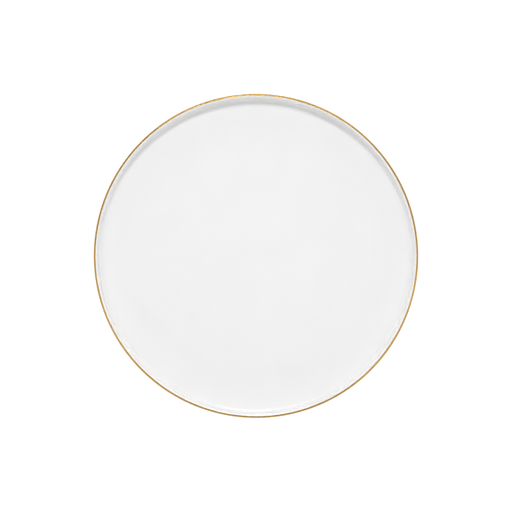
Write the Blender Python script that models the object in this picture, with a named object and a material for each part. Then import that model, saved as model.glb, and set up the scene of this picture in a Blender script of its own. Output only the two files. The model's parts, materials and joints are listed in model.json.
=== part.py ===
"""China dinner plate: a flat well, an upright rim with a round lip, a foot ring and a gold line.

The plate is turned about the Z axis. Its foot ring stands on z = 0 and is centred on the origin.
Every piece is a skin or a core of one section, which is drawn as the glazed surface: straight runs
that meet in rounded corners. Sizes are in metres and angles in degrees.
"""
from math import cos, pi, radians, sin, tan

import bmesh
import bpy
from mathutils import Matrix, Vector

# The plate as a whole, measured over the gold line.
PLATE_DIAMETER = 0.270
PLATE_HEIGHT = 0.0210

# The rim.
LIP_THICKNESS = 0.0028
RIM_OUTSIDE_LEAN = 3.0
RIM_INSIDE_LEAN = 3.5
HEEL_RADIUS = 0.0085
COVE_RADIUS = 0.0036

# The base and the foot ring that it stands on.
BASE_THICKNESS = 0.0043
FOOT_HEIGHT = 0.0024
FOOT_DIAMETER = 0.178
FOOT_WIDTH = 0.0036
FOOT_SIDE_LEAN = 18.0
FOOT_EDGE_RADIUS = 0.0004
FOOT_ROOT_RADIUS = 0.0012
BASE_HOLLOW = 0.0003

# The layers that are fired onto the porcelain.
GLAZE_THICKNESS = 0.0002
GOLD_THICKNESS = 0.00012
SEAM = 0.0003
FOOT_BARE_HEIGHT = 0.0007
GOLD_DROP_OUTSIDE = 0.0004
GOLD_TURN_INSIDE = 13.0

# How finely the round shapes are divided.
TURN_STEPS = 80
LIP_STEPS = 4
HEEL_STEPS = 5
COVE_STEPS = 4
FOOT_STEPS = 2
GOLD_STEPS = 6
SMOOTH_BELOW = 40.0

# Base colour, roughness and metallic value of each piece.
FINISHES = {
    "porcelain_body": ((0.84, 0.81, 0.76), 0.75, 0.0),
    "glaze_coat": ((0.90, 0.90, 0.89), 0.10, 0.0),
    "base_glaze": ((0.89, 0.89, 0.88), 0.14, 0.0),
    "gold_rim_line": ((0.83, 0.58, 0.24), 0.22, 1.0),
}

# Sizes that follow from the ones above.
GOLD_STANDOFF = SEAM + GOLD_THICKNESS
BODY_INSET = GLAZE_THICKNESS + SEAM
LIP_ROUNDING = LIP_THICKNESS / 2 - GOLD_STANDOFF
LIP_CENTRE = Vector((
    PLATE_DIAMETER / 2 - LIP_THICKNESS / 2,
    PLATE_HEIGHT - LIP_THICKNESS / 2,
))
CREST_HEIGHT = LIP_CENTRE.y + LIP_ROUNDING
WELL_HEIGHT = FOOT_HEIGHT + BASE_THICKNESS
RECESS_HEIGHT = FOOT_HEIGHT + BASE_HOLLOW
FOOT_INNER_RADIUS = (FOOT_DIAMETER - FOOT_WIDTH) / 2
FOOT_OUTER_RADIUS = (FOOT_DIAMETER + FOOT_WIDTH) / 2


class Corner:
    """A corner of the section: radius and height, its rounding and the steps in its arc."""

    def __init__(self, radius, height, rounding=0.0, steps=0):
        self.point = Vector((radius, height))
        self.rounding = rounding
        self.steps = steps


def wall_radius(side, lean, height):
    """Radius of the rim's outside (side 1) or inside (side -1) face at a height."""
    angle = radians(lean)
    touch = LIP_CENTRE + LIP_ROUNDING * side * Vector((cos(angle), -sin(angle)))
    return touch.x + (height - touch.y) * tan(angle)


def outside_corner(height, rounding, steps):
    """Corner on the line of the rim's outside face."""
    return Corner(wall_radius(1, RIM_OUTSIDE_LEAN, height), height, rounding, steps)


def inside_corner(height, rounding, steps):
    """Corner on the line of the rim's inside face."""
    return Corner(wall_radius(-1, RIM_INSIDE_LEAN, height), height, rounding, steps)


def foot_side_radius(side, height):
    """Radius of the foot ring's outer (side 1) or inner (side -1) face at a height."""
    edge = FOOT_OUTER_RADIUS if side > 0 else FOOT_INNER_RADIUS
    return edge + side * height * tan(radians(FOOT_SIDE_LEAN))


def foot_root(side, height):
    """Corner where a side of the foot ring runs into the base."""
    return Corner(foot_side_radius(side, height), height, FOOT_ROOT_RADIUS, FOOT_STEPS)


def foot_edge(side):
    """Corner where a side of the foot ring meets the face that it stands on."""
    return Corner(foot_side_radius(side, 0.0), 0.0, FOOT_EDGE_RADIUS, FOOT_STEPS)


def recess_corners():
    """The base inside the foot ring, from the centre to the ring's root."""
    return [Corner(0.0, RECESS_HEIGHT), foot_root(-1, RECESS_HEIGHT)]


def upper_corners():
    """From the foot ring's outer root, round the heel and the lip, to the well's centre."""
    return [
        foot_root(1, FOOT_HEIGHT),
        outside_corner(FOOT_HEIGHT, HEEL_RADIUS, HEEL_STEPS),
        outside_corner(CREST_HEIGHT, LIP_ROUNDING, LIP_STEPS),
        inside_corner(CREST_HEIGHT, LIP_ROUNDING, LIP_STEPS),
        inside_corner(WELL_HEIGHT, COVE_RADIUS, COVE_STEPS),
        Corner(0.0, WELL_HEIGHT),
    ]


def bare_line(side):
    """Point on a side of the foot ring where the wiped glaze ends."""
    return Corner(foot_side_radius(side, FOOT_BARE_HEIGHT), FOOT_BARE_HEIGHT)


def turn_of(before, corner, after):
    """Positive where the outline turns left, which is a convex corner of the section."""
    return (corner - before).cross(after - corner)


def inward(start, end):
    """Unit vector that points into the porcelain from the edge between two points."""
    along = (end - start).normalized()
    return Vector((-along.y, along.x))


def meeting_point(corner, first_way, first_inset, second_way, second_inset):
    """Where two edges through a corner meet after each has moved inwards by its inset."""
    shares = Matrix((first_way, second_way)).inverted() @ Vector((first_inset, second_inset))
    return corner + shares


def moved_rounding(rounding, insets, turn):
    """Rounding of a corner whose edges moved; it stays as it is where they moved unequally."""
    if insets[0] != insets[1]:
        return rounding
    return rounding - insets[0] if turn > 0 else rounding + insets[0]


def inset_corners(corners, insets):
    """Move every edge of an open outline inwards, each by its own inset."""
    points = [corner.point for corner in corners]
    ways = [inward(start, end) for start, end in zip(points, points[1:])]
    moved = [Corner(*(points[0] + ways[0] * insets[0]))]
    for index in range(1, len(points) - 1):
        pair = insets[index - 1:index + 1]
        place = meeting_point(points[index], ways[index - 1], pair[0], ways[index], pair[1])
        turn = turn_of(*points[index - 1:index + 2])
        rounding = moved_rounding(corners[index].rounding, pair, turn)
        moved.append(Corner(*place, rounding, corners[index].steps))
    moved.append(Corner(*(points[-1] + ways[-1] * insets[-1])))
    return moved


def arc_points(before, corner, after):
    """Points of the arc that rounds a corner between the edges from before and to after."""
    back = (before.point - corner.point).normalized()
    ahead = (after.point - corner.point).normalized()
    half = back.angle(ahead) / 2
    centre = corner.point + (back + ahead).normalized() * corner.rounding / sin(half)
    spoke = corner.point + back * corner.rounding / tan(half) - centre
    turn = turn_of(before.point, corner.point, after.point)
    sweep = pi - 2 * half if turn > 0 else 2 * half - pi
    turns = [Matrix.Rotation(sweep * step / corner.steps, 2) for step in range(corner.steps + 1)]
    return [centre + turned @ spoke for turned in turns]


def rounded_path(corners):
    """Points of an open outline with its inner corners rounded."""
    path = [corners[0].point]
    for before, corner, after in zip(corners, corners[1:], corners[2:]):
        path.extend(arc_points(before, corner, after))
    path.append(corners[-1].point)
    return path


def glaze_faces(corners):
    """Outer and inner face of the glaze along part of the section."""
    depths = [GLAZE_THICKNESS] * (len(corners) - 1)
    return rounded_path(corners), rounded_path(inset_corners(corners, depths))


def glaze_coat_path():
    """Outline of the glaze from the well's centre under itself to the foot ring and back."""
    outer, inner = glaze_faces([bare_line(1)] + upper_corners())
    return inner[::-1] + outer


def base_glaze_path():
    """Outline of the glaze inside the foot ring, out from the centre and back."""
    outer, inner = glaze_faces(recess_corners() + [bare_line(-1)])
    return outer + inner[::-1]


def body_path():
    """Outline of the bare porcelain: the section less its skin, but for the face it stands on."""
    corners = recess_corners() + [foot_edge(-1), foot_edge(1)] + upper_corners()
    standing_face = len(recess_corners())
    insets = [0.0 if edge == standing_face else BODY_INSET for edge in range(len(corners) - 1)]
    return rounded_path(inset_corners(corners, insets))


def gold_side(rounding):
    """One face of the gold line, from its inner edge over the lip and down the outside."""
    start = radians(90.0 + GOLD_TURN_INSIDE)
    end = radians(-RIM_OUTSIDE_LEAN)
    angles = [start + (end - start) * step / GOLD_STEPS for step in range(GOLD_STEPS + 1)]
    side = [LIP_CENTRE + rounding * Vector((cos(angle), sin(angle))) for angle in angles]
    down_the_wall = Vector((sin(end), -cos(end)))
    return side + [side[-1] + down_the_wall * GOLD_DROP_OUTSIDE]


def gold_path():
    """Closed outline of the gold line, which stands a seam clear of the glaze."""
    outer = gold_side(LIP_ROUNDING + GOLD_STANDOFF)
    inner = gold_side(LIP_ROUNDING + SEAM)
    return outer + inner[::-1]


def turned_mesh(name, path, closed):
    """Spin an outline once round the Z axis; an open one starts and ends on that axis."""
    work = bmesh.new()
    rim = [work.verts.new((point.x, 0.0, point.y)) for point in path]
    edges = [work.edges.new(pair) for pair in zip(rim, rim[1:])]
    if closed:
        edges.append(work.edges.new((rim[-1], rim[0])))
    bmesh.ops.spin(
        work, geom=rim + edges, cent=(0, 0, 0), axis=(0, 0, 1),
        angle=2 * pi, steps=TURN_STEPS, use_merge=True,
    )
    bmesh.ops.remove_doubles(work, verts=work.verts[:], dist=1e-6)
    bmesh.ops.recalc_face_normals(work, faces=work.faces[:])
    mesh = bpy.data.meshes.new(name)
    work.to_mesh(mesh)
    work.free()
    return mesh


def finish(name):
    """Material of one piece."""
    colour, roughness, metallic = FINISHES[name]
    material = bpy.data.materials.new(name)
    material.use_nodes = True
    shader = material.node_tree.nodes["Principled BSDF"]
    shader.inputs["Base Color"].default_value = (*colour, 1.0)
    shader.inputs["Roughness"].default_value = roughness
    shader.inputs["Metallic"].default_value = metallic
    material.diffuse_color = (*colour, 1.0)
    return material


def add_piece(name, path, plate, closed=False):
    """Turn one piece, give it its material and hang it on the plate."""
    mesh = turned_mesh(name, path, closed)
    mesh.materials.append(finish(name))
    mesh.shade_smooth()
    mesh.set_sharp_from_angle(angle=radians(SMOOTH_BELOW))
    piece = bpy.data.objects.new(name, mesh)
    piece.parent = plate
    bpy.context.scene.collection.objects.link(piece)


def clear_scene():
    """Remove the objects that a new file starts with."""
    for item in list(bpy.data.objects):
        bpy.data.objects.remove(item, do_unlink=True)


def main():
    clear_scene()
    plate = bpy.data.objects.new("plate", None)
    bpy.context.scene.collection.objects.link(plate)
    add_piece("porcelain_body", body_path(), plate)
    add_piece("glaze_coat", glaze_coat_path(), plate)
    add_piece("base_glaze", base_glaze_path(), plate)
    add_piece("gold_rim_line", gold_path(), plate, closed=True)


main()
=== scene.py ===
"""The looks of the china dinner plate: fine turned pieces, glaze, bisque and gold, on a pale floor."""

import json
from math import ceil, cos, hypot, pi, radians, sin, tan

import bmesh
import bpy
from mathutils import Matrix, Vector


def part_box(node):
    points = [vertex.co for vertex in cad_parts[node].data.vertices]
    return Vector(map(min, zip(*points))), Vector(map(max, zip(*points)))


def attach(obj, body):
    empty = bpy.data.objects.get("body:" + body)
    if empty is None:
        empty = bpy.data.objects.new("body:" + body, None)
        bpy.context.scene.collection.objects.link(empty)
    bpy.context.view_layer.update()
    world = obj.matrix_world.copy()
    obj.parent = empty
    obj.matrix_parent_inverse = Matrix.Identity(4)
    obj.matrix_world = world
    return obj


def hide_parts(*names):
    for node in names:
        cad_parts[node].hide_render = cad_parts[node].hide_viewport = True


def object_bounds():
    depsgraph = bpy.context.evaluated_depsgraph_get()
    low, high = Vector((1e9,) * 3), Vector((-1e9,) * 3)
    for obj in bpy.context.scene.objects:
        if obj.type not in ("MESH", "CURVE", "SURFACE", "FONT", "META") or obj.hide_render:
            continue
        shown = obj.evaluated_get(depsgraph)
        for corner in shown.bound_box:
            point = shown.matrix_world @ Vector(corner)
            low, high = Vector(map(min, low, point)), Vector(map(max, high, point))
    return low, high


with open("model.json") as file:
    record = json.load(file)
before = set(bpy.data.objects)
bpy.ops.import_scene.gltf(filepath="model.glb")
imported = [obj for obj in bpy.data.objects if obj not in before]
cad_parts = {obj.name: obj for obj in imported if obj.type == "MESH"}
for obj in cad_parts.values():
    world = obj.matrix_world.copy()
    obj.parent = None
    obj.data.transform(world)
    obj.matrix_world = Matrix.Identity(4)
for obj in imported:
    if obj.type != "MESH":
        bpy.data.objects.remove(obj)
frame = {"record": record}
CAD_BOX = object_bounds()
MOUNTS = {mount["name"]: mount for mount in frame["record"]["mounts"]}

# Sizes read from the frame, in metres.
PLATE_RADIUS = CAD_BOX[1].x
PLATE_HEIGHT = CAD_BOX[1].z
WELL_HEIGHT = MOUNTS["well_floor"]["pos_m"][2]
FOOT_RADIUS = hypot(*MOUNTS["foot_ring_face"]["pos_m"][:2])
BARE_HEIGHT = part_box("glaze_coat")[0].z
GOLD_LOW_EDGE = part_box("gold_rim_line")[0].z

# The section, as the plate is turned: lengths in metres, leans in degrees.
LIP_THICKNESS = 0.0028
RIM_OUTSIDE_LEAN = 3.0
RIM_INSIDE_LEAN = 3.5
HEEL_RADIUS = 0.0085
COVE_RADIUS = 0.0036
BASE_THICKNESS = 0.0043
FOOT_WIDTH = 0.0036
FOOT_SIDE_LEAN = 18.0
FOOT_EDGE_RADIUS = 0.0004
FOOT_ROOT_RADIUS = 0.0012
BASE_HOLLOW = 0.0003
EASING = 1.12

# The fired layers.
GLAZE_THICKNESS = 0.0002
GLAZE_SEAM = 0.00003
GOLD_THICKNESS = 0.00004
GOLD_SEAM = 0.00002

# How the gold is banded. It reaches over the lip's crest by an angle in degrees. It is laid a little
# off centre, so that the line is wider at the back than at the front. Its edges wander in waves,
# given by how many go round the plate, their share, and where they start in radians. The low edge's
# waves are shifted from the inner edge's.
GOLD_TURN_INSIDE = 13.0
BANDING_OFF_CENTRE = 0.00008
BANDING_WANDER = 0.00006
BANDING_WAVES = ((5, 0.5, 0.4), (11, 0.3, 2.0), (23, 0.2, 4.1))
LOW_EDGE_SHIFT = 1.0

# How the china moved in the kiln: the middle sinks, and the rim goes a little out of true, in waves
# given as for the gold.
WELL_SINK = 0.00025
RIM_WARP = 0.00010
RIM_WAVES = ((2, 0.6, 0.7), (3, 0.4, 2.1))
RIM_OVAL_START = 1.9

# How finely the pieces are divided.
TURN_STEPS = 360
FINE_STEP = 0.00025
LONGEST_STEP = 0.0025
MOST_TURN = radians(5.0)
EDGE_STEPS = 6
GOLD_LIP_STEPS = 28
GOLD_WALL_STEPS = 4
MERGE_DISTANCE = 1e-6

# Sizes that follow from the ones above.
FOOT_HEIGHT = WELL_HEIGHT - BASE_THICKNESS
RECESS_HEIGHT = FOOT_HEIGHT + BASE_HOLLOW
GOLD_STANDOFF = GOLD_THICKNESS + GOLD_SEAM
BODY_DEPTH = GLAZE_THICKNESS + GLAZE_SEAM
LIP_ROUNDING = LIP_THICKNESS / 2 - GOLD_STANDOFF
LIP_CENTRE = Vector((PLATE_RADIUS - LIP_THICKNESS / 2, PLATE_HEIGHT - LIP_THICKNESS / 2))
CREST_HEIGHT = LIP_CENTRE.y + LIP_ROUNDING


# ---- The section: straight runs that meet in rounded corners ----

class Corner:
    """A corner of the section: its place, its rounding, and whether the rounding eases in."""

    def __init__(self, radius, height, rounding=0.0, eased=False):
        self.point = Vector((radius, height))
        self.rounding = rounding
        self.eased = eased


def wall_corner(side, height, rounding, eased=False):
    """Corner on the rim's outside (side 1) or inside (side -1) face."""
    lean = radians(RIM_OUTSIDE_LEAN if side > 0 else RIM_INSIDE_LEAN)
    touch = LIP_CENTRE + LIP_ROUNDING * side * Vector((cos(lean), -sin(lean)))
    return Corner(touch.x + (height - touch.y) * tan(lean), height, rounding, eased)


def foot_corner(side, height, rounding=0.0):
    """Corner on the foot ring's outer (side 1) or inner (side -1) face."""
    edge = FOOT_RADIUS + side * FOOT_WIDTH / 2
    return Corner(edge + side * height * tan(radians(FOOT_SIDE_LEAN)), height, rounding)


def recess_corners():
    """The base inside the foot ring, from the centre to the ring's root."""
    return [Corner(0.0, RECESS_HEIGHT), foot_corner(-1, RECESS_HEIGHT, FOOT_ROOT_RADIUS)]


def upper_corners():
    """From the foot ring's outer root, round the heel and the lip, to the well's centre."""
    return [
        foot_corner(1, FOOT_HEIGHT, FOOT_ROOT_RADIUS),
        wall_corner(1, FOOT_HEIGHT, HEEL_RADIUS, eased=True),
        wall_corner(1, CREST_HEIGHT, LIP_ROUNDING),
        wall_corner(-1, CREST_HEIGHT, LIP_ROUNDING),
        wall_corner(-1, WELL_HEIGHT, COVE_RADIUS, eased=True),
        Corner(0.0, WELL_HEIGHT),
    ]


def arc_points(corner, back, ahead):
    """A round corner between the ways back and ahead."""
    half = back.angle(ahead) / 2
    centre = corner.point + (back + ahead).normalized() * corner.rounding / sin(half)
    spoke = corner.point + back * corner.rounding / tan(half) - centre
    sweep = (pi - 2 * half) * (1 if ahead.cross(back) > 0 else -1)
    steps = max(2, ceil(abs(sweep) * corner.rounding / FINE_STEP))
    turns = [Matrix.Rotation(sweep * step / steps, 2) for step in range(steps + 1)]
    return [centre + turned @ spoke for turned in turns]


def eased_points(corner, back, ahead):
    """A corner whose curve tightens gently and lets go gently, as a wet sponge leaves it."""
    reach = EASING * corner.rounding / tan(back.angle(ahead) / 2)
    handles = [corner.point + back * reach * share / 3 for share in (3, 2, 1)]
    handles += [corner.point + ahead * reach * share / 3 for share in (1, 2, 3)]
    steps = ceil(2 * reach / FINE_STEP)
    return [between(handles, step / steps) for step in range(steps + 1)]


def between(handles, share):
    """Point of the smooth curve that a row of handles pulls."""
    while len(handles) > 1:
        handles = [first.lerp(second, share) for first, second in zip(handles, handles[1:])]
    return handles[0]


def corner_points(before, corner, after):
    """The rounded stretch at one corner."""
    back = (before.point - corner.point).normalized()
    ahead = (after.point - corner.point).normalized()
    shape = eased_points if corner.eased else arc_points
    return shape(corner, back, ahead)


def run_points(start, end):
    """A straight run from start, a fine step apart, without its end."""
    steps = max(1, ceil((end - start).length / FINE_STEP))
    return [start.lerp(end, step / steps) for step in range(steps)]


def fine_path(corners):
    """The whole outline as close points."""
    bends = [corner_points(*three) for three in zip(corners, corners[1:], corners[2:])]
    stops = [[corners[0].point]] + bends + [[corners[-1].point]]
    path = []
    for here, there in zip(stops, stops[1:]):
        path += here[:-1] + run_points(here[-1], there[0])
    return path + [corners[-1].point]


def inset_path(path, depth):
    """The outline moved into the china by a depth."""
    moved = []
    for index, point in enumerate(path):
        before = path[max(index - 1, 0)]
        after = path[min(index + 1, len(path) - 1)]
        along = (after - before).normalized()
        moved.append(point + Vector((-along.y, along.x)) * depth)
    return moved


def thinned(path):
    """The outline with only the points that its shape needs."""
    kept = [path[0]]
    heading = path[1] - path[0]
    for point, following in zip(path[1:], path[2:]):
        step = following - point
        far = (point - kept[-1]).length > LONGEST_STEP
        if far or heading.angle(step, 0.0) > MOST_TURN:
            kept.append(point)
            heading = step
    return kept + [path[-1]]


def edge_points(outer, inner):
    """The rounded edge where a layer ends, from its inner face to its outer one."""
    middle = (outer + inner) / 2
    spoke = inner - middle
    turns = [Matrix.Rotation(-pi * step / EDGE_STEPS, 2) for step in range(1, EDGE_STEPS)]
    return [middle + turned @ spoke for turned in turns]


# ---- Turning ----

def kiln_shift(radius, height, angle):
    """How far the china moved out and up in the kiln at one place."""
    inside = max(0.0, 1 - (radius / FOOT_RADIUS) ** 2)
    rim = max(0.0, (radius - FOOT_RADIUS) / (PLATE_RADIUS - FOOT_RADIUS)) ** 2
    rise = sum(share * cos(number * angle + start) for number, share, start in RIM_WAVES) - 1
    up = RIM_WARP * rim * rise - WELL_SINK * inside ** 2
    out = RIM_WARP * rim * height / PLATE_HEIGHT * (cos(2 * angle + RIM_OVAL_START) - 1)
    return out, up


def turned_piece(name, path_at, closed=False):
    """Turn an outline round the Z axis. path_at gives the outline at an angle."""
    work = bmesh.new()
    rings = []
    for step in range(TURN_STEPS):
        angle = 2 * pi * step / TURN_STEPS
        ring = []
        for point in path_at(angle):
            out, up = kiln_shift(point.x, point.y, angle)
            radius = point.x + out if point.x > 0 else 0.0
            ring.append(work.verts.new((radius * cos(angle), radius * sin(angle), point.y + up)))
        rings.append(ring + ring[:1] if closed else ring)
    for here, there in zip(rings, rings[1:] + rings[:1]):
        for low, high in zip(range(len(here) - 1), range(1, len(here))):
            work.faces.new((here[low], there[low], there[high], here[high]))
    bmesh.ops.remove_doubles(work, verts=work.verts[:], dist=MERGE_DISTANCE)
    bmesh.ops.recalc_face_normals(work, faces=work.faces[:])
    mesh = bpy.data.meshes.new(name)
    work.to_mesh(mesh)
    work.free()
    mesh.shade_smooth()
    piece = bpy.data.objects.new(name, mesh)
    bpy.context.scene.collection.objects.link(piece)
    return piece


def body_outline():
    """The bare porcelain: the section under its glaze, with the foot ring down to the table."""
    foot = [foot_corner(side, -BODY_DEPTH, FOOT_EDGE_RADIUS) for side in (-1, 1)]
    return thinned(inset_path(fine_path(recess_corners() + foot + upper_corners()), BODY_DEPTH))


def glaze_faces(corners):
    """Outer and inner face of the glaze along part of the section."""
    path = fine_path(corners)
    return thinned(path), thinned(inset_path(path, GLAZE_THICKNESS))


def glaze_coat_outline():
    """The glaze from the well's centre under itself to the foot ring, and back over the lip."""
    outer, inner = glaze_faces([foot_corner(1, BARE_HEIGHT)] + upper_corners())
    return inner[::-1] + edge_points(outer[0], inner[0]) + outer


def base_glaze_outline():
    """The glaze inside the foot ring, out from the centre and back."""
    outer, inner = glaze_faces(recess_corners() + [foot_corner(-1, BARE_HEIGHT)])
    return outer + edge_points(inner[-1], outer[-1]) + inner[::-1]


def banding_wander(angle):
    """How far a hand-banded edge strays at one angle, from -1 to 1."""
    return sum(share * sin(number * angle + start) for number, share, start in BANDING_WAVES)


def gold_face(rounding, inner_turn, low_edge):
    """One face of the gold line: over the lip, then down the outside wall."""
    start = radians(90) + inner_turn
    end = radians(-RIM_OUTSIDE_LEAN)
    turns = [start + (end - start) * step / GOLD_LIP_STEPS for step in range(GOLD_LIP_STEPS + 1)]
    face = [LIP_CENTRE + rounding * Vector((cos(turn), sin(turn))) for turn in turns]
    down_the_wall = Vector((tan(end), -1.0)) * (face[-1].y - low_edge)
    falls = [step / GOLD_WALL_STEPS for step in range(1, GOLD_WALL_STEPS + 1)]
    return face + [face[-1] + down_the_wall * fall for fall in falls]


def gold_outline(angle):
    """The gold line at one angle; its edges wander as the banding brush did."""
    inward = BANDING_WANDER * banding_wander(angle) + BANDING_OFF_CENTRE * sin(angle)
    inner_turn = radians(GOLD_TURN_INSIDE) + inward / LIP_ROUNDING
    low_edge = GOLD_LOW_EDGE + BANDING_WANDER * (1 + banding_wander(angle + LOW_EDGE_SHIFT))
    outer = gold_face(LIP_ROUNDING + GOLD_STANDOFF, inner_turn, low_edge)
    inner = gold_face(LIP_ROUNDING + GOLD_SEAM, inner_turn, low_edge)
    return outer + inner[::-1]


# ---- Shader helpers ----

def add_node(tree, kind, inputs=None, **options):
    """Add a node, set its options, and then feed its inputs with sockets or plain values."""
    made = tree.nodes.new(kind)
    for option, value in options.items():
        setattr(made, option, value)
    for key, value in (inputs or {}).items():
        if isinstance(value, bpy.types.NodeSocket):
            tree.links.new(value, made.inputs[key])
        else:
            made.inputs[key].default_value = value
    return made


def sum_up(tree, operation, *values):
    """One math node; values are sockets or numbers."""
    inputs = dict(enumerate(values))
    return add_node(tree, "ShaderNodeMath", inputs, operation=operation).outputs[0]


def plus_share(tree, value, other, share):
    """A value plus a share of another one."""
    return sum_up(tree, "MULTIPLY_ADD", other, share, value)


def rescale(tree, value, low, high, new_low, new_high, smooth=True):
    """Map a value from one range to another."""
    inputs = {"Value": value, "From Min": low, "From Max": high, "To Min": new_low, "To Max": new_high}
    kind = "SMOOTHSTEP" if smooth else "LINEAR"
    return add_node(tree, "ShaderNodeMapRange", inputs, interpolation_type=kind).outputs[0]


def blend_colours(tree, share, first, second):
    """Mix two colours by a share from 0 to 1."""
    made = add_node(tree, "ShaderNodeMix", data_type="RGBA")
    for key, value in (("Factor_Float", share), ("A_Color", first), ("B_Color", second)):
        socket = next(item for item in made.inputs if item.identifier == key)
        if isinstance(value, bpy.types.NodeSocket):
            tree.links.new(value, socket)
        else:
            socket.default_value = value if key == "Factor_Float" else (*value, 1.0)
    return next(item for item in made.outputs if item.identifier == "Result_Color")


def new_group(name, inputs, outputs):
    """Start a node group whose inputs have default values; returns its tree, inputs and outputs."""
    tree = bpy.data.node_groups.new(name, "ShaderNodeTree")
    for label, value in inputs.items():
        kind = "NodeSocketVector" if value is None else "NodeSocketFloat"
        socket = tree.interface.new_socket(label, in_out="INPUT", socket_type=kind)
        if value is not None:
            socket.default_value = value
    for label in outputs:
        tree.interface.new_socket(label, in_out="OUTPUT", socket_type="NodeSocketFloat")
    given = tree.nodes.new("NodeGroupInput").outputs
    wanted = tree.nodes.new("NodeGroupOutput").inputs
    return tree, given, wanted


def place_group(tree, group, **inputs):
    """Put a group in a material, with its own sockets or values; ring_radius feeds Ring Radius."""
    named = {label.replace("_", " ").title(): value for label, value in inputs.items()}
    return add_node(tree, "ShaderNodeGroup", named, node_tree=group).outputs


# ---- Effects that several finishes share ----

def section_place_group():
    """Radius and height of a point of the plate, as on the turner's template."""
    tree, given, wanted = new_group("section place", {"Place": None}, ["Radius", "Height"])
    split = add_node(tree, "ShaderNodeSeparateXYZ", {0: given["Place"]}).outputs
    square = sum_up(tree, "ADD", sum_up(tree, "MULTIPLY", split["X"], split["X"]),
                    sum_up(tree, "MULTIPLY", split["Y"], split["Y"]))
    tree.links.new(sum_up(tree, "SQRT", square), wanted["Radius"])
    tree.links.new(split["Z"], wanted["Height"])
    return tree


def near_ring_group(section_place):
    """A mask that is 1 on a ring round the plate and fades out within a reach of it."""
    inputs = {"Place": None, "Ring Radius": 0.1, "Ring Height": 0.0, "Reach": 0.005}
    tree, given, wanted = new_group("near ring", inputs, ["Mask"])
    at = place_group(tree, section_place, place=given["Place"])
    across = sum_up(tree, "SUBTRACT", at["Radius"], given["Ring Radius"])
    above = sum_up(tree, "SUBTRACT", at["Height"], given["Ring Height"])
    square = sum_up(tree, "ADD", sum_up(tree, "MULTIPLY", across, across),
                    sum_up(tree, "MULTIPLY", above, above))
    share = sum_up(tree, "DIVIDE", sum_up(tree, "SQRT", square), given["Reach"])
    tree.links.new(rescale(tree, share, 0.0, 1.0, 1.0, 0.0), wanted["Mask"])
    return tree


def turning_marks_group(section_place):
    """Faint rings left by the jigger's profile tool, from -1 to 1."""
    inputs = {"Place": None, "Ring Spacing": 0.01, "Wobble": 0.3}
    tree, given, wanted = new_group("turning marks", inputs, ["Height"])
    at = place_group(tree, section_place, place=given["Place"])
    drift = add_node(tree, "ShaderNodeTexNoise",
                     {"Vector": given["Place"], "Scale": 22.0, "Detail": 1.0}).outputs["Fac"]
    rings = sum_up(tree, "DIVIDE", at["Radius"], given["Ring Spacing"])
    strayed = plus_share(tree, rings, drift, given["Wobble"])
    uneven = add_node(tree, "ShaderNodeTexNoise",
                      {"W": strayed, "Scale": 1.0, "Detail": 2.0}, noise_dimensions="1D").outputs["Fac"]
    tree.links.new(rescale(tree, uneven, 0.25, 0.75, -1.0, 1.0, smooth=False), wanted["Height"])
    return tree


def mottle_group():
    """Soft cloudy unevenness, from -1 to 1."""
    inputs = {"Place": None, "Patches Per Metre": 60.0, "Fineness": 3.0}
    tree, given, wanted = new_group("mottle", inputs, ["Height"])
    texture = {"Vector": given["Place"], "Scale": given["Patches Per Metre"],
               "Detail": given["Fineness"], "Roughness": 0.5}
    cloud = add_node(tree, "ShaderNodeTexNoise", texture).outputs["Fac"]
    tree.links.new(rescale(tree, cloud, 0.3, 0.7, -1.0, 1.0, smooth=False), wanted["Height"])
    return tree


def specks_group():
    """Scattered round dots, such as pinholes or iron specks: 1 in a dot and 0 between."""
    inputs = {"Place": None, "Specks Per Metre": 300.0, "Size": 0.1, "Share": 0.1}
    tree, given, wanted = new_group("specks", inputs, ["Mask"])
    cells = add_node(tree, "ShaderNodeTexVoronoi",
                     {"Vector": given["Place"], "Scale": given["Specks Per Metre"]}).outputs
    chance = add_node(tree, "ShaderNodeSeparateColor", {0: cells["Color"]}).outputs[0]
    chosen = sum_up(tree, "LESS_THAN", chance, given["Share"])
    inner = sum_up(tree, "MULTIPLY", given["Size"], 0.5)
    dot = add_node(tree, "ShaderNodeMapRange", {"Value": cells["Distance"], "From Min": inner,
                   "From Max": given["Size"], "To Min": 1.0, "To Max": 0.0}).outputs[0]
    tree.links.new(sum_up(tree, "MULTIPLY", dot, chosen), wanted["Mask"])
    return tree


SECTION_PLACE = section_place_group()
NEAR_RING = near_ring_group(SECTION_PLACE)
TURNING_MARKS = turning_marks_group(SECTION_PLACE)
MOTTLE = mottle_group()
SPECKS = specks_group()


# ---- Finishes ----

# Colours, as the shares of red, green and blue light that come back. A pair is blended by a cloud.
GLAZE_WHITES = (0.826, 0.825, 0.826), (0.836, 0.835, 0.836)
# The pool tint is darker and warmer: partly glaze pooled in the cove and under the base, partly painted
# shade there.
GLAZE_POOL_SHADE = (0.815, 0.808, 0.80)
IRON_SPECK = (0.45, 0.42, 0.38)
CLAY_WHITES = (0.77, 0.735, 0.675), (0.82, 0.795, 0.745)
RUBBED_CLAY = (0.66, 0.65, 0.63)
PIT_DIRT = (0.40, 0.36, 0.31)
FULL_GOLDS = (0.50, 0.285, 0.042), (0.56, 0.335, 0.06)
THIN_GOLD = (0.38, 0.19, 0.06)
PINHOLE_BROWN = (0.30, 0.16, 0.07)

# Plain colours that stand for the finishes in an undressed view.
GLAZE_PREVIEW = (0.84, 0.84, 0.84)
BISQUE_PREVIEW = (0.80, 0.77, 0.71)
GOLD_PREVIEW = (0.83, 0.55, 0.2)

GLAZE_IOR = 1.5
GLAZE_ROUGHNESS = 0.075
BISQUE_ROUGHNESS = 0.72
GOLD_ROUGHNESS = 0.22
BISQUE_RELIEF = 0.000012
GOLD_RELIEF = 0.000006

# How far in from the ends of the line the gold grows thin: over the crest in degrees, on the wall in
# metres.
GOLD_FADE_INSIDE = 12
GOLD_FADE_BELOW = 0.0004


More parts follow.
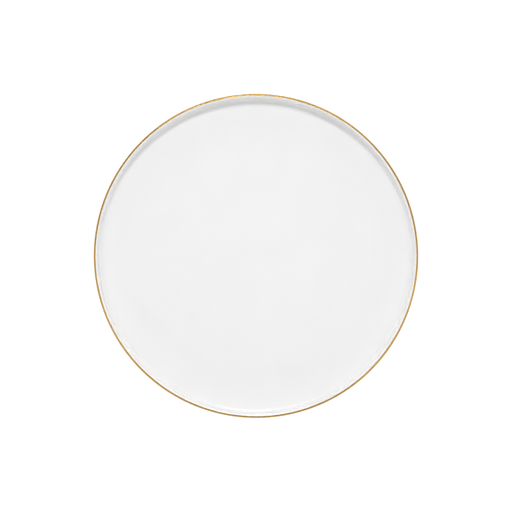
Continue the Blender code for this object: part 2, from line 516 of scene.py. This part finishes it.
def start_material(name, preview):
    """A material, its tree, its shader's inputs, and where a point lies on the plate."""
    material = bpy.data.materials.new(name)
    material.use_nodes = True
    material.diffuse_color = (*preview, 1.0)
    tree = material.node_tree
    place = add_node(tree, "ShaderNodeTexCoord").outputs["Object"]
    return material, tree, tree.nodes["Principled BSDF"].inputs, place


def bump(tree, height, distance):
    """A normal from a height that is 1 at a distance in metres."""
    inputs = {"Height": height, "Distance": distance, "Strength": 1.0}
    return add_node(tree, "ShaderNodeBump", inputs).outputs["Normal"]


def clouded(tree, cloud, colours):
    """A colour between two, as a cloud from -1 to 1 says."""
    return blend_colours(tree, rescale(tree, cloud, -1.0, 1.0, 0.0, 1.0), *colours)


def tinted(tree, colour, tint, mask, strength):
    """A colour tinted where a mask is 1, with a strength from 0 to 1."""
    return blend_colours(tree, sum_up(tree, "MULTIPLY", mask, strength), colour, tint)


def glaze_finish(name, shade_pool_radius, shade_pool_height, shade_pool_reach, ring_spacing, ring_depth):
    """Clear gloss glaze over white porcelain, a little darker and warmer where it has pooled, partly
    painted shade.
    """
    material, tree, shader, place = start_material(name, GLAZE_PREVIEW)
    pooled_and_shaded = place_group(tree, NEAR_RING, place=place, ring_radius=shade_pool_radius,
                         ring_height=shade_pool_height, reach=shade_pool_reach)["Mask"]
    cloud = place_group(tree, MOTTLE, place=place, patches_per_metre=35.0, fineness=3.0)["Height"]
    rings = place_group(tree, TURNING_MARKS, place=place,
                        ring_spacing=ring_spacing, wobble=0.4)["Height"]
    peel = place_group(tree, MOTTLE, place=place, patches_per_metre=240.0, fineness=1.0)["Height"]
    specks = place_group(tree, SPECKS, place=place,
                         specks_per_metre=70.0, size=0.012, share=0.05)["Mask"]
    white = clouded(tree, cloud, GLAZE_WHITES)
    # Painted shade, partly pooled glaze: the cove and the base's recess edge are tinted darker and
    # warmer.
    shaded_pool = tinted(tree, white, GLAZE_POOL_SHADE, pooled_and_shaded, strength=0.6)
    tree.links.new(tinted(tree, shaded_pool, IRON_SPECK, specks, strength=0.35), shader["Base Color"])
    tree.links.new(plus_share(tree, GLAZE_ROUGHNESS, cloud, share=0.015), shader["Roughness"])
    shader["IOR"].default_value = GLAZE_IOR
    relief = plus_share(tree, rings, peel, share=0.12)
    tree.links.new(bump(tree, relief, ring_depth), shader["Normal"])
    return material


def bisque_finish():
    """Bare fired porcelain: fine, matt and a little warm, rubbed smooth where it stands."""
    material, tree, shader, place = start_material("bisque", BISQUE_PREVIEW)
    grain = place_group(tree, MOTTLE, place=place, patches_per_metre=2600.0, fineness=4.0)["Height"]
    cloud = place_group(tree, MOTTLE, place=place, patches_per_metre=90.0, fineness=3.0)["Height"]
    rings = place_group(tree, TURNING_MARKS, place=place, ring_spacing=0.00035, wobble=0.5)["Height"]
    pits = place_group(tree, SPECKS, place=place,
                       specks_per_metre=900.0, size=0.25, share=0.12)["Mask"]
    rubbed = place_group(tree, NEAR_RING, place=place, ring_radius=FOOT_RADIUS,
                         ring_height=0.0, reach=0.0014)["Mask"]
    clay = clouded(tree, cloud, CLAY_WHITES)
    scuffed = tinted(tree, clay, RUBBED_CLAY, rubbed, strength=0.5)
    tree.links.new(tinted(tree, scuffed, PIT_DIRT, pits, strength=0.45), shader["Base Color"])
    matt = plus_share(tree, BISQUE_ROUGHNESS, grain, share=0.06)
    tree.links.new(plus_share(tree, matt, rubbed, share=-0.15), shader["Roughness"])
    relief = plus_share(tree, grain, rings, share=0.6)
    relief = plus_share(tree, relief, pits, share=-1.5)
    tree.links.new(bump(tree, relief, BISQUE_RELIEF), shader["Normal"])
    return material


def gold_finish():
    """Bright fired gold: long brush strokes round the lip, thin and browner at its two edges."""
    material, tree, shader, place = start_material("gold", GOLD_PREVIEW)
    split = add_node(tree, "ShaderNodeSeparateXYZ", {0: place}).outputs
    at = place_group(tree, SECTION_PLACE, place=place)
    way_round = sum_up(tree, "ARCTAN2", split["Y"], split["X"])
    across = sum_up(tree, "ARCTAN2", sum_up(tree, "SUBTRACT", at["Height"], LIP_CENTRE.y),
                    sum_up(tree, "SUBTRACT", at["Radius"], LIP_CENTRE.x))
    along = {"X": sum_up(tree, "SINE", way_round), "Y": sum_up(tree, "COSINE", way_round),
             "Z": sum_up(tree, "MULTIPLY", across, 4.0)}
    stroke_place = add_node(tree, "ShaderNodeCombineXYZ", along).outputs[0]
    strokes = place_group(tree, MOTTLE, place=stroke_place,
                          patches_per_metre=2.5, fineness=3.0)["Height"]
    cloud = place_group(tree, MOTTLE, place=place, patches_per_metre=70.0, fineness=2.0)["Height"]
    pinholes = place_group(tree, SPECKS, place=place,
                           specks_per_metre=700.0, size=0.09, share=0.03)["Mask"]
    inner_edge = rescale(tree, across, radians(90 + GOLD_TURN_INSIDE - GOLD_FADE_INSIDE),
                         radians(90 + GOLD_TURN_INSIDE), 0.0, 1.0)
    low_edge = rescale(tree, at["Height"], GOLD_LOW_EDGE + GOLD_FADE_BELOW, GOLD_LOW_EDGE, 0.0, 1.0)
    thin = sum_up(tree, "MAXIMUM", inner_edge, low_edge)
    gold = clouded(tree, strokes, FULL_GOLDS)
    edged = tinted(tree, gold, THIN_GOLD, thin, strength=0.55)
    tree.links.new(tinted(tree, edged, PINHOLE_BROWN, pinholes, strength=0.5), shader["Base Color"])
    shader["Metallic"].default_value = 1.0
    rough = plus_share(tree, GOLD_ROUGHNESS, strokes, share=0.04)
    rough = plus_share(tree, rough, cloud, share=0.03)
    tree.links.new(plus_share(tree, rough, thin, share=0.15), shader["Roughness"])
    relief = plus_share(tree, strokes, cloud, share=0.5)
    tree.links.new(bump(tree, relief, GOLD_RELIEF), shader["Normal"])
    return material


# ---- The four pieces ----

def finish_piece(piece, node, material):
    """Give a piece its material, and let it stand for its CAD node on the plate's one body."""
    piece.data.materials.append(material)
    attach(piece, "root")
    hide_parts(node)


def make_plate():
    """Turn and finish the four pieces, in the order in which they are added to the plate."""
    body = body_outline()
    coat = glaze_coat_outline()
    base = base_glaze_outline()
    # The pooled glaze and painted shade sit in the cove and at the edge of the base's recess.
    cove_middle = LIP_CENTRE.x - LIP_ROUNDING - COVE_RADIUS * 0.75
    recess_edge = FOOT_RADIUS - FOOT_WIDTH
    finish_piece(turned_piece("bare_porcelain", lambda angle: body), "porcelain_body",
                 bisque_finish())
    finish_piece(turned_piece("clear_glaze", lambda angle: coat), "glaze_coat",
                 glaze_finish("clear glaze", shade_pool_radius=cove_middle, shade_pool_height=WELL_HEIGHT,
                              shade_pool_reach=COVE_RADIUS, ring_spacing=0.014, ring_depth=0.000010))
    finish_piece(turned_piece("glaze_under_base", lambda angle: base), "base_glaze",
                 glaze_finish("glaze under base", shade_pool_radius=recess_edge, shade_pool_height=RECESS_HEIGHT,
                              shade_pool_reach=0.004, ring_spacing=0.005, ring_depth=0.000014))
    finish_piece(turned_piece("gold_line", gold_outline, closed=True), "gold_rim_line",
                 gold_finish())


# ---- The studio ----

# The camera: its elevation in degrees, its distance in metres and how far behind the plate's middle
# it aims (below zero is in front), then its lens and sensor in millimetres.
VIEW_ELEVATION = 86.7
VIEW_DISTANCE = 1.1802
VIEW_AIM_BACK = -0.00104
LENS = 100.0
SENSOR_WIDTH = 36.0

# The floor and how brightly it glows, and the room, which glows overhead and more so low down.
FLOOR_HALF = 6.0
FLOOR_WHITE = (0.93, 0.93, 0.93, 1.0)
FLOOR_ROUGHNESS = 0.9
FLOOR_GLOW = 1.12
FLOOR_GLOW_SHARE = 0.82
CEILING_GLOW = 0.43
HORIZON_GLOW = 1.64
HORIZON_FALL = 3.0
ROOM_WHITE = (1.0, 1.0, 1.0, 1.0)


def glowing_floor_finish():
    """Pale board that glows for the eye and in reflections alone, so it stays white by the plate."""
    material = bpy.data.materials.new("pale floor")
    material.use_nodes = True
    tree = material.node_tree
    board = tree.nodes["Principled BSDF"]
    board.inputs["Base Color"].default_value = FLOOR_WHITE
    board.inputs["Roughness"].default_value = FLOOR_ROUGHNESS
    board.inputs["Specular IOR Level"].default_value = 0.0
    glow = add_node(tree, "ShaderNodeEmission", {"Strength": FLOOR_GLOW})
    ray = add_node(tree, "ShaderNodeLightPath").outputs
    seen = plus_share(tree, ray["Is Glossy Ray"], ray["Is Camera Ray"], FLOOR_GLOW_SHARE)
    mixed = add_node(tree, "ShaderNodeMixShader", {0: seen, 1: board.outputs[0], 2: glow.outputs[0]})
    tree.links.new(mixed.outputs[0], tree.nodes["Material Output"].inputs["Surface"])
    return material


def add_floor():
    """A plain pale sweep under the plate."""
    work = bmesh.new()
    corners = ((-1, -1), (1, -1), (1, 1), (-1, 1))
    work.faces.new([work.verts.new((x * FLOOR_HALF, y * FLOOR_HALF, 0.0)) for x, y in corners])
    mesh = bpy.data.meshes.new("studio_floor")
    work.to_mesh(mesh)
    work.free()
    floor = bpy.data.objects.new("studio_floor", mesh)
    bpy.context.scene.collection.objects.link(floor)
    mesh.materials.append(glowing_floor_finish())


def add_softbox(name, bearing, elevation, distance, width, height, radiance):
    """A soft rectangular light that faces the plate; bearings run clockwise from the back."""
    turn, lift = radians(bearing), radians(elevation)
    place = Vector((sin(turn) * cos(lift), cos(turn) * cos(lift), sin(lift))) * distance
    light = bpy.data.lights.new(name, "AREA")
    light.shape = "RECTANGLE"
    light.size = width
    light.size_y = height
    light.energy = radiance * width * height * pi
    lamp = bpy.data.objects.new(name, light)
    lamp.location = place
    lamp.rotation_euler = (-place).to_track_quat("-Z", "Y").to_euler()
    lamp.visible_camera = False
    bpy.context.scene.collection.objects.link(lamp)
    return lamp


def paint_room():
    """A pale room, bright low down all round and dimmer overhead."""
    world = bpy.data.worlds.new("pale room")
    world.use_nodes = True
    tree = world.node_tree
    direction = add_node(tree, "ShaderNodeTexCoord").outputs["Generated"]
    upward = add_node(tree, "ShaderNodeSeparateXYZ", {0: direction}).outputs["Z"]
    below_top = sum_up(tree, "SUBTRACT", 1.0, sum_up(tree, "MAXIMUM", upward, 0.0))
    low = sum_up(tree, "POWER", below_top, HORIZON_FALL)
    glow = plus_share(tree, CEILING_GLOW, low, HORIZON_GLOW)
    tree.links.new(glow, tree.nodes["Background"].inputs["Strength"])
    tree.nodes["Background"].inputs["Color"].default_value = ROOM_WHITE
    bpy.context.scene.world = world


def light_studio():
    """A key high behind the plate, a low softbox behind it and one on either side, in a pale room."""
    paint_room()
    # The key is two lamps in line: the farther one lights the china, the nearer one is its shine.
    key = add_softbox("key_softbox", bearing=0.0, elevation=68.5, distance=2.0,
                      width=0.42, height=0.42, radiance=27.2)
    key.visible_glossy = False
    sheen = add_softbox("key_sheen", bearing=0.0, elevation=68.5, distance=1.9,
                        width=0.4, height=0.4, radiance=10.0)
    sheen.visible_diffuse = False
    for name, bearing in (("left_softbox", -110.0), ("right_softbox", 110.0)):
        add_softbox(name, bearing=bearing, elevation=64.0, distance=2.1,
                    width=0.9, height=0.9, radiance=1.35)
    add_softbox("low_back_softbox", bearing=0.0, elevation=25.0, distance=2.2,
                width=1.8, height=0.6, radiance=0.9)


def add_camera():
    """A long lens almost straight above the plate."""
    target = Vector((0.0, VIEW_AIM_BACK, PLATE_HEIGHT))
    lift = radians(VIEW_ELEVATION)
    back = Vector((0.0, -cos(lift), sin(lift)))
    lens = bpy.data.cameras.new("camera")
    lens.lens = LENS
    lens.sensor_width = SENSOR_WIDTH
    camera = bpy.data.objects.new("camera", lens)
    camera.location = target + back * VIEW_DISTANCE
    camera.rotation_euler = (-back).to_track_quat("-Z", "Y").to_euler()
    bpy.context.scene.collection.objects.link(camera)
    bpy.context.scene.camera = camera


make_plate()
add_floor()
light_studio()
add_camera()
bpy.context.scene.view_settings.view_transform = "Standard"
